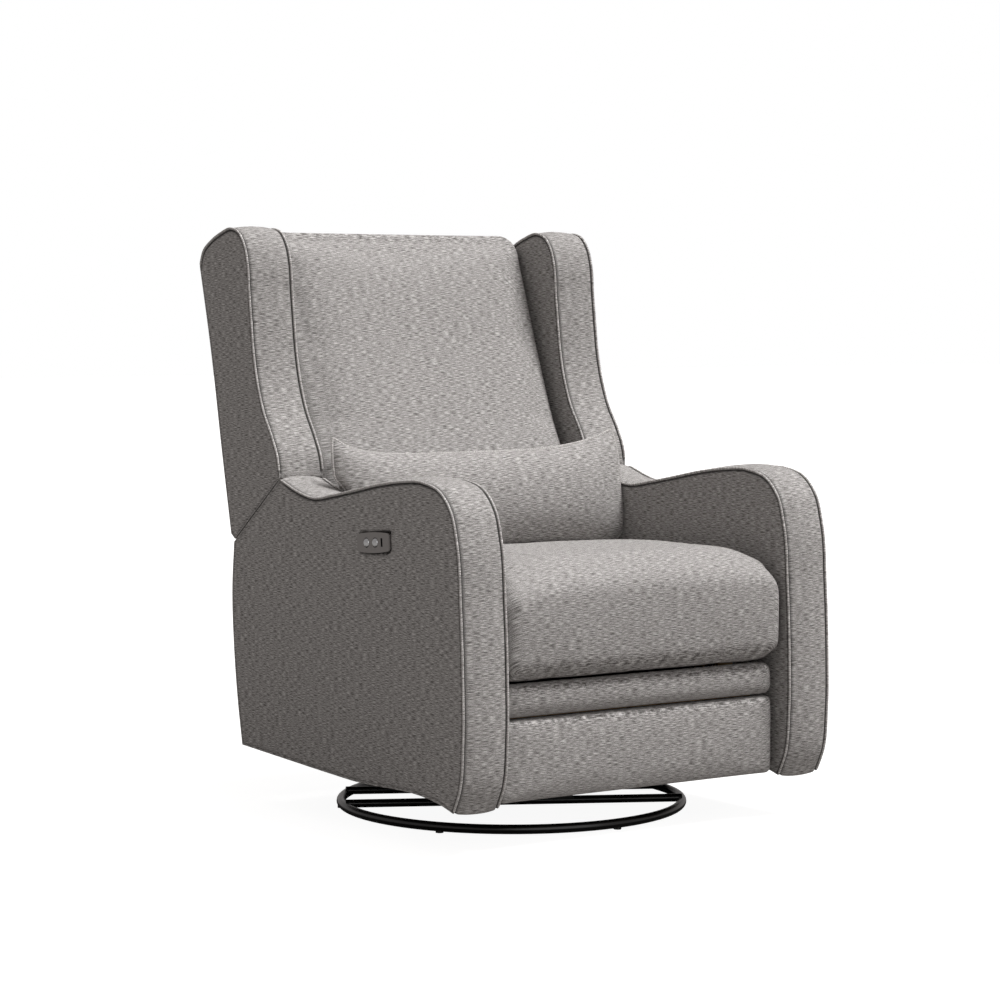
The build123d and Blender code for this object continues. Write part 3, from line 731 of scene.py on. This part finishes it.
def add_back():
    size = (2 * BACK_X - 8, 2.0, 610.0)
    block, faces, cube = rounded_block((size[0], 120.0, size[2]), 38.0, 9.0)
    z = BACK_TOP - size[2] / 2 + block[:, 2]
    depth = (block[:, 1] + 60.0) / 120.0
    front = np.interp(z, BACK_FRONT_Z, BACK_FRONT_Y)
    rear = rear_y(z) - 34.0
    crown = BACK_CROWN * (1 - np.abs(cube[:, 0]) ** 3) * smooth_step(-cube[:, 1], 0.0, 1.0)
    crown *= 1 - np.clip(cube[:, 2], 0, 1) ** 4
    y = front + (rear - front) * depth - crown + 9.0 * (1 - depth)
    z = z - 14.0 * smooth_step(depth, 0.35, 1.0) * smooth_step(z, 980.0, 1060.0)
    points = np.stack([block[:, 0], y, z], axis=1)
    uv = np.stack([points[:, 0], points[:, 1] * 0.3 + points[:, 2]], axis=1)
    back = make_piece("back_cushion_cover", points, faces, cover_cloth, uv)
    swell(back, BACK_CAP)
    points = points_of(back)
    points[:, 1] += 1.2 * ripple(points[:, 0], points[:, 2], 31, 300.0)
    points[:, 0] = np.clip(points[:, 0], -300.5, 300.5)
    points[:, 1] = np.minimum(points[:, 1], rear_y(points[:, 2]) - 30.0)
    points[:, 2] = np.clip(points[:, 2], 441.0, 1069.0)
    set_points(back, points)
    finish_pad(back, "back", "back_cushion")
    return back


add_back()

# %% [markdown]
# ## Footrest pads
# Two foam-topped boards, folded under the seat: a low panel and a slim bar above it. They open with the footrest.

# %% Footrest pads
FOOT_X = 299.0
FOOT_CAP = 2.5
FOOT_Y = (-418.0, -376.5)
FOOT_PANEL_Z = (83.0, 226.0)
FOOT_BAR_Z = (226.5, 286.0)


def add_foot_pad(name, node, low_z, high_z, radius, crown, seed):
    size = (2 * FOOT_X - 3, FOOT_Y[1] - FOOT_Y[0] - 2, high_z - low_z - 2)
    block, faces, cube = rounded_block(size, radius, 7.0)
    front = smooth_step(-cube[:, 1], 0.0, 1.0)
    block[:, 1] -= crown * (1 - cube[:, 2] ** 2) * (1 - cube[:, 0] ** 10) * front
    points = block + np.array([0.0, sum(FOOT_Y) / 2 + crown * 0.5, (low_z + high_z) / 2])
    uv = np.stack([points[:, 0], points[:, 2] - points[:, 1]], axis=1)
    pad = make_piece(name, points, faces, cover_cloth, uv)
    swell(pad, FOOT_CAP)
    points = points_of(pad)
    points[:, 1] += 0.7 * ripple(points[:, 0], points[:, 2] * 2, seed, 160.0) * (points[:, 1] < -400)
    points[:, 0] = np.clip(points[:, 0], -FOOT_X - 2, FOOT_X + 2)
    points[:, 1] = np.clip(points[:, 1], FOOT_Y[0] - 6, FOOT_Y[1])
    points[:, 2] = np.clip(points[:, 2], low_z, high_z)
    set_points(pad, points)
    finish_pad(pad, "footrest", node)
    return pad


add_foot_pad("footrest_panel_cover", "footrest_pad", *FOOT_PANEL_Z, 11.0, 6.0, 41)
add_foot_pad("footrest_bar_cover", "footrest_bar_pad", *FOOT_BAR_Z, 16.0, 5.0, 42)

# %% [markdown]
# ## Lumbar pillow
# Two panels sewn together round a piped edge and stuffed. Its thickness is a dome that falls to nothing at the seam,
# its sides pull in between the corners, and the corners stand out as ears. The seam is held while the panels swell.

# %% Pillow
PILLOW_SIZE = (650.0, 208.0)
PILLOW_EAR = 13.0
PILLOW_DIP = (37.0, 5.0)
PILLOW_CAP = 10.0
PILLOW_PRESSURE = 5.0
PILLOW_THICK = 92.0
PILLOW_AT = (-6.0, 64.0, 573.0)
PILLOW_LEAN = 11.0
PILLOW_CELLS = (96, 36)


def pillow_place(local):
    """From the pillow's own (across, up, forward) to the chair, leaning back."""
    lean = math.radians(PILLOW_LEAN)
    x = PILLOW_AT[0] + local[:, 0]
    y = PILLOW_AT[1] + local[:, 1] * math.sin(lean) - local[:, 2] * math.cos(lean)
    z = PILLOW_AT[2] + local[:, 1] * math.cos(lean) + local[:, 2] * math.sin(lean)
    return np.stack([x, y, z], axis=1)


def pillow_edge(a, b):
    """The flat shape: sides that lean in to the seat, a top that dips between raised ears, and blunt low corners."""
    corner = np.where(a > 0, 15.0, 9.0) * np.abs(b) ** 3 * np.abs(a) ** 12
    x = a * PILLOW_SIZE[0] / 2 * (1 - 0.012 * (1 - b ** 2)) - a * 6.0 * (b < 0) * np.abs(b)
    rise = np.abs(a) ** np.where(a > 0, 3.2, 6.0)
    dip = np.where(b > 0, *PILLOW_DIP) * (1 - rise) * np.abs(b)
    half = PILLOW_SIZE[1] / 2 + np.where(b > 0, PILLOW_EAR, 0.0)
    y = b * half - np.sign(b) * (dip + corner * (b < 0))
    return x - np.sign(a) * 0.9 * corner * np.abs(b), y


def add_pillow():
    na, nb = PILLOW_CELLS
    a, b = np.meshgrid(np.linspace(-1, 1, na + 1), np.linspace(-1, 1, nb + 1), indexing="ij")
    a, b = np.sin(a * math.pi / 2 * 0.999), np.sin(b * math.pi / 2 * 0.999)
    x, y = pillow_edge(a, b)
    dome = ((1 - np.abs(a) ** 5) * (1 - np.abs(b) ** 2.6)) ** 0.62
    dome = np.where(dome > 0, dome, 0.0)
    rows, columns = a.shape
    grid = np.arange(rows * columns).reshape(rows, columns)
    rim = (np.arange(rows)[:, None] % (rows - 1) == 0) | (np.arange(columns)[None, :] % (columns - 1) == 0)
    dome[rim] = 0.0
    front = np.stack([x, y, dome * PILLOW_THICK * 0.52], axis=2).reshape(-1, 3)
    inner = ~rim.ravel()
    back_of = np.arange(rows * columns)
    back_of[inner] = rows * columns + np.arange(inner.sum())
    rear = front[inner] * np.array([1.0, 1.0, -0.9])
    local = np.vstack([front, rear])
    quads = []
    for source, flip in ((grid, False), (back_of.reshape(rows, columns), True)):
        q = np.stack([source[:-1, :-1], source[1:, :-1], source[1:, 1:], source[:-1, 1:]], axis=2).reshape(-1, 4)
        quads += list(q[:, ::-1] if flip else q)
    points = pillow_place(local)
    uv = np.stack([local[:, 0], local[:, 1]], axis=1)
    pillow = make_piece("lumbar_pillow_cover", points, facing_out(points, quads), cover_cloth, uv)
    held = np.zeros(len(local), dtype=bool)
    held[:rows * columns] = rim.ravel()
    swell(pillow, PILLOW_CAP, PILLOW_PRESSURE, held)
    points = points_of(pillow)
    points[:, 1] += 1.3 * ripple(points[:, 0], points[:, 2], 51, 130.0) * (~held)
    low = 1.0 - smooth_step(points[:, 2], 590.0, 620.0)
    limit = ARM_X[0] - 1.0 + 25.0 * (1.0 - low)
    points[:, 0] = np.clip(points[:, 0], -limit, limit)
    points[:, 2] = np.maximum(points[:, 2], 472.0)
    set_points(pillow, points)
    finish_pad(pillow, "pillow", "lumbar_pillow")
    ring = np.concatenate([grid[:-1, 0], grid[-1, :-1], grid[:0:-1, -1], grid[0, :0:-1]])
    seam = points[ring]
    seam = even_samples(np.vstack([seam, seam[:1]]), 420)[:-1]
    for _ in range(3):
        seam = (np.roll(seam, 1, 0) + 2 * seam + np.roll(seam, -1, 0)) / 4
    lean = math.radians(PILLOW_LEAN)
    forward = np.tile([0.0, -math.cos(lean), math.sin(lean)], (len(seam), 1))
    tube, faces, tube_uv = tube_surface(seam, 2.4, forward, closed=True)
    piping = make_piece("lumbar_pillow_piping", tube, faces, piping_painted_highlight_cloth, tube_uv)
    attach(piping, "pillow")
    return pillow


add_pillow()

# %% [markdown]
# ## The rear
# Behind, a taut panel covers the back frame and turns over its top to meet the cushion. Below the hinge line a
# separate covered board closes the chair between the arms. Both are a profile carried across the chair.

# %% Rear covers
def profile_block(name, profile, half_x, columns, edge, body, nodes):
    """A closed side-plane profile carried across from -half_x to half_x, easing in over the last edge millimetres."""
    profile = np.array(profile, dtype=float)
    x = np.linspace(-1, 1, columns) * half_x
    near = half_x - np.abs(x)
    shrink = 1.0 - np.clip(1.0 - near / edge, 0.0, 1.0) ** 2 * 0.012
    middle = profile.mean(axis=0)
    rows = middle + (profile - middle)[None, :, :] * shrink[:, None, None]
    points = np.concatenate([np.broadcast_to(x[:, None, None], rows.shape[:2] + (1,)), rows], axis=2)
    count = len(profile)
    caps = np.array([[x[0], *middle], [x[-1], *middle]])
    flat = np.vstack([points.reshape(-1, 3), caps])
    quads = list(grid_quads(columns, count))
    first = np.arange(count)
    following = (first + 1) % count
    start = np.stack([following, first, np.full(count, columns * count)], axis=1)
    last = (columns - 1) * count
    end = np.stack([last + first, last + following, np.full(count, columns * count + 1)], axis=1)
    uv = np.stack([flat[:, 0], flat[:, 2] - flat[:, 1] * 0.5], axis=1)
    piece = make_piece(name, flat, facing_out(flat, quads + list(start) + list(end)), cover_cloth, uv)
    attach(piece, body)
    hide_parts(*nodes)
    return piece


def line_points(start, end, step=12.0):
    """Evenly spaced points from start up to, but not including, end."""
    start, end = np.array(start, dtype=float), np.array(end, dtype=float)
    count = max(2, int(np.linalg.norm(end - start) / step))
    return start + (end - start) * np.linspace(0, 1, count, endpoint=False)[:, None]


PANEL_LOW_Z = 346.0
PANEL_TOP_Z = 1018.0
outer_line = line_points((rear_y(PANEL_LOW_Z), PANEL_LOW_Z), (rear_y(PANEL_TOP_Z), PANEL_TOP_Z))
top_roll = curve_through([(rear_y(PANEL_TOP_Z), PANEL_TOP_Z), (452, 1036), (441, 1049), (424, 1055), (404, 1050),
                          (396, 1030)], 5.0)[:-1]
inner_line = line_points((396, 1030), (rear_y(1000) - 12, 1000))
inner_down = line_points((rear_y(1000) - 5.5, 990), (rear_y(PANEL_LOW_Z) - 5.5, PANEL_LOW_Z))
rear_profile = np.vstack([outer_line, top_roll, inner_line, inner_down])
profile_block("back_outer_cover", rear_profile, 299.5, 60, 24.0, "back", ["back_outer_panel"])

skirt_box = [np.array(corner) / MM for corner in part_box("rear_skirt_panel")]
y0, z0 = skirt_box[0][1:]
y1, z1 = skirt_box[1][1:]
skirt_profile = np.vstack([line_points((y1, z0), (y1, z1)), line_points((y1, z1), (y0, z1), 4.0),
                           line_points((y0, z1), (y0, z0)), line_points((y0, z0), (y1, z0), 4.0)])
profile_block("rear_skirt_cover", skirt_profile, 297.0, 60, 10.0, "carriage", ["rear_skirt_panel"])

# %% [markdown]
# ## Hard finishes
# The metal, wood and plastic pieces keep their CAD shapes. Each gets a finish named for how it was made. Patterns read
# Object coordinates, and every piece sits at the origin, so a pattern stays put on its piece.

# %% Hard materials
def hard_finish(name, base, metallic, roughness, grit_mm, grit_depth_mm, spread=0.06, coat=0.0):
    """A plain finish with a fine grain in its colour, roughness and bump."""
    material, tree, shader = new_material(name)
    place = add(tree, "ShaderNodeTexCoord").outputs["Object"]
    grain = add(tree, "ShaderNodeTexNoise", None, Vector=place, Scale=1000 / grit_mm, Detail=3.0).outputs["Fac"]
    cloud = add(tree, "ShaderNodeTexNoise", None, Vector=place, Scale=1000 / (grit_mm * 25), Detail=3.0).outputs["Fac"]
    dark = tuple(c * 0.82 for c in colour(base)[:3]) + (1.0,)
    tone = add(tree, "ShaderNodeMix", {"data_type": "RGBA"}, i0=cloud, i6=dark, i7=colour(base)).outputs[2]
    tree.links.new(tone, shader.inputs["Base Color"])
    rough = add(tree, "ShaderNodeMapRange", None, Value=cloud, i3=roughness - spread, i4=roughness + spread).outputs[0]
    tree.links.new(rough, shader.inputs["Roughness"])
    bump = add(tree, "ShaderNodeBump", None, Strength=0.4, Distance=grit_depth_mm * MM, Height=grain)
    tree.links.new(bump.outputs["Normal"], shader.inputs["Normal"])
    shader.inputs["Metallic"].default_value = metallic
    shader.inputs["Coat Weight"].default_value = coat
    shader.inputs["Coat Roughness"].default_value = 0.12
    return material


def plywood():
    """Birch plywood and pine: long grain along X, with rings drawn by a stretched noise."""
    material, tree, shader = new_material("birch_plywood")
    place = add(tree, "ShaderNodeTexCoord").outputs["Object"]
    grain = add(tree, "ShaderNodeMapping", None, Vector=place, Scale=(6.0, 90.0, 90.0)).outputs["Vector"]
    bands = add(tree, "ShaderNodeTexNoise", None, Vector=grain, Scale=1.0, Detail=6.0, Distortion=0.8).outputs["Fac"]
    ramp = add(tree, "ShaderNodeValToRGB", None, Fac=bands)
    ramp.color_ramp.elements[0].position = 0.35
    ramp.color_ramp.elements[0].color = colour("#A67C4E")
    ramp.color_ramp.elements[1].position = 0.65
    ramp.color_ramp.elements[1].color = colour("#D9BC8C")
    tree.links.new(ramp.outputs["Color"], shader.inputs["Base Color"])
    bump = add(tree, "ShaderNodeBump", None, Strength=0.3, Distance=0.0004, Height=bands)
    tree.links.new(bump.outputs["Normal"], shader.inputs["Normal"])
    shader.inputs["Roughness"].default_value = 0.62
    return material


black_powder = hard_finish("black_powder_coat", "#0B0B0C", 0.0, 0.30, 1.2, 0.03, 0.06, 0.35)
zinc_plate = hard_finish("zinc_plated_steel", "#A9ACAE", 1.0, 0.36, 2.0, 0.03)
spring_wire = hard_finish("oiled_spring_wire", "#4A4A4C", 1.0, 0.34, 2.0, 0.03)
extruded = hard_finish("extruded_aluminium", "#C2C4C6", 1.0, 0.38, 1.5, 0.03)
chrome = hard_finish("polished_chrome", "#D6D7D9", 1.0, 0.12, 3.0, 0.004, 0.03)
black_plastic = hard_finish("moulded_black_abs", "#141415", 0.0, 0.46, 0.9, 0.04)
grey_plastic = hard_finish("moulded_warm_grey_abs", "#8A8684", 0.0, 0.50, 0.9, 0.05)
birch = plywood()

FINISHES = {"black_steel": black_powder, "zinc_steel": zinc_plate, "spring_steel": spring_wire,
            "aluminium": extruded, "chrome": chrome, "black_plastic": black_plastic,
            "grey_plastic": grey_plastic, "wood": birch, "upholstery": cover_cloth}

for part in frame["record"]["subparts"]:
    node_object = frame["nodes"][part["node"]]
    for material_slot in node_object.material_slots:
        material_slot.material = FINISHES[part["material_slot"]]

# %% [markdown]
# ## Push buttons
# Each button is a chromed dome with a fine rim, turned from one profile: a radius and a height for each step from rim
# to crown. The CAD button's box says where it stands.

# %% Buttons
BUTTON_PROFILE = [(8.5, 12.0), (8.5, 1.9), (8.3, 1.2), (8.0, 0.2), (7.4, -1.2), (6.3, -2.6), (4.7, -3.8), (2.6, -4.6),
                  (0.8, -4.85)]


def add_button(node, body):
    low, high = (np.array(corner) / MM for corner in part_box(node))
    centre = (low + high) / 2
    face_x = low[0] + 2.6
    profile = np.array(BUTTON_PROFILE)
    angle = np.linspace(0, 2 * math.pi, 48, endpoint=False)
    y = centre[1] + profile[:, 0][:, None] * np.cos(angle)[None, :]
    z = centre[2] + profile[:, 0][:, None] * np.sin(angle)[None, :]
    x = np.broadcast_to((face_x + profile[:, 1])[:, None], y.shape)
    points = np.stack([x, y, z], axis=2).reshape(-1, 3)
    caps = np.array([[face_x + 12.0, centre[1], centre[2]], [face_x - 3.9, centre[1], centre[2]]])
    points = np.vstack([points, caps])
    rows = len(profile)
    quads = list(grid_quads(rows, 48))
    first = np.arange(48)
    following = (first + 1) % 48
    start = np.stack([following, first, np.full(48, rows * 48)], axis=1)
    end = np.stack([(rows - 1) * 48 + first, (rows - 1) * 48 + following, np.full(48, rows * 48 + 1)], axis=1)
    button = make_piece(node + "_dome", points, facing_out(points, quads + list(start) + list(end)), chrome)
    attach(button, body)
    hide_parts(node)


add_button("button_recline", "recline_button")
add_button("button_return", "return_button")

# %% [markdown]
# ## Light, floor and world
# The chair is lit steeply from above and a little from its own front left, so its top is bright, its front is
# middling and its right side is dark. Two suns with wide discs give soft shadows that are the same at any distance.
# The floor and the world look white, but light the chair as a grey studio would, so that its shaded side stays dark.

# %% Stage
KEY_FROM = (0.46, -0.42, 1.30)
FILL_FROM = (-0.10, -1.0, 0.35)
KEY_STRENGTH, KEY_DISC = 1.29, 30.0
FILL_STRENGTH, FILL_DISC = 0.16, 60.0
WORLD_SEEN, WORLD_LIGHT = 1.0, 0.345
FLOOR_GLOW = 0.93


def add_sun(name, towards, strength, disc):
    """A sun that shines from a direction. strength is what a white wall facing it would look like."""
    data = bpy.data.lights.new(name, "SUN")
    data.energy = math.pi * strength
    data.angle = math.radians(disc)
    light = bpy.data.objects.new(name, data)
    x, y, z = np.array(towards) / np.linalg.norm(towards)
    light.rotation_euler = (math.acos(z), 0.0, math.atan2(x, -y))
    light.location = (3 * x, 3 * y, 3 * z)
    bpy.context.scene.collection.objects.link(light)


def add_world(seen, light):
    """A world that the camera sees at one brightness and that lights the chair at another."""
    world = bpy.data.worlds.new("studio")
    world.use_nodes = True
    tree = world.node_tree
    tree.nodes.clear()
    rays = add(tree, "ShaderNodeLightPath")
    strength = add(tree, "ShaderNodeMapRange", None, Value=rays.outputs["Is Camera Ray"], i3=light, i4=seen).outputs[0]
    tint = add(tree, "ShaderNodeMix", {"data_type": "RGBA"}, i0=rays.outputs["Is Camera Ray"],
               i6=(1.0, 0.955, 0.94, 1.0), i7=(1.0, 1.0, 1.0, 1.0)).outputs[2]
    background = add(tree, "ShaderNodeBackground", None, Color=tint, Strength=strength)
    output = tree.nodes.new("ShaderNodeOutputWorld")
    tree.links.new(background.outputs[0], output.inputs["Surface"])
    bpy.context.scene.world = world


def add_floor():
    """A white sweep: it shows as paper lit from behind, with only a faint shadow, and bounces little light."""
    material, tree, shader = new_material("pale_studio_floor")
    shader.inputs["Base Color"].default_value = colour("#8C8A88")
    shader.inputs["Roughness"].default_value = 0.9
    shader.inputs["Specular IOR Level"].default_value = 0.0
    rays = add(tree, "ShaderNodeLightPath").outputs["Is Camera Ray"]
    glow = maths(tree, "MULTIPLY", rays, FLOOR_GLOW)
    tree.links.new(glow, shader.inputs["Emission Strength"])
    shader.inputs["Emission Color"].default_value = (1.0, 1.0, 1.0, 1.0)
    reach = 30000.0
    points = [(-reach, -reach, 0.0), (reach, -reach, 0.0), (reach, reach, 0.0), (-reach, reach, 0.0)]
    floor = make_piece("studio_floor", points, [[0, 1, 2, 3]], material)


add_world(WORLD_SEEN, WORLD_LIGHT)
add_floor()
add_sun("key", KEY_FROM, KEY_STRENGTH, KEY_DISC)
add_sun("fill", FILL_FROM, FILL_STRENGTH, FILL_DISC)
bpy.context.scene.view_settings.view_transform = "Standard"
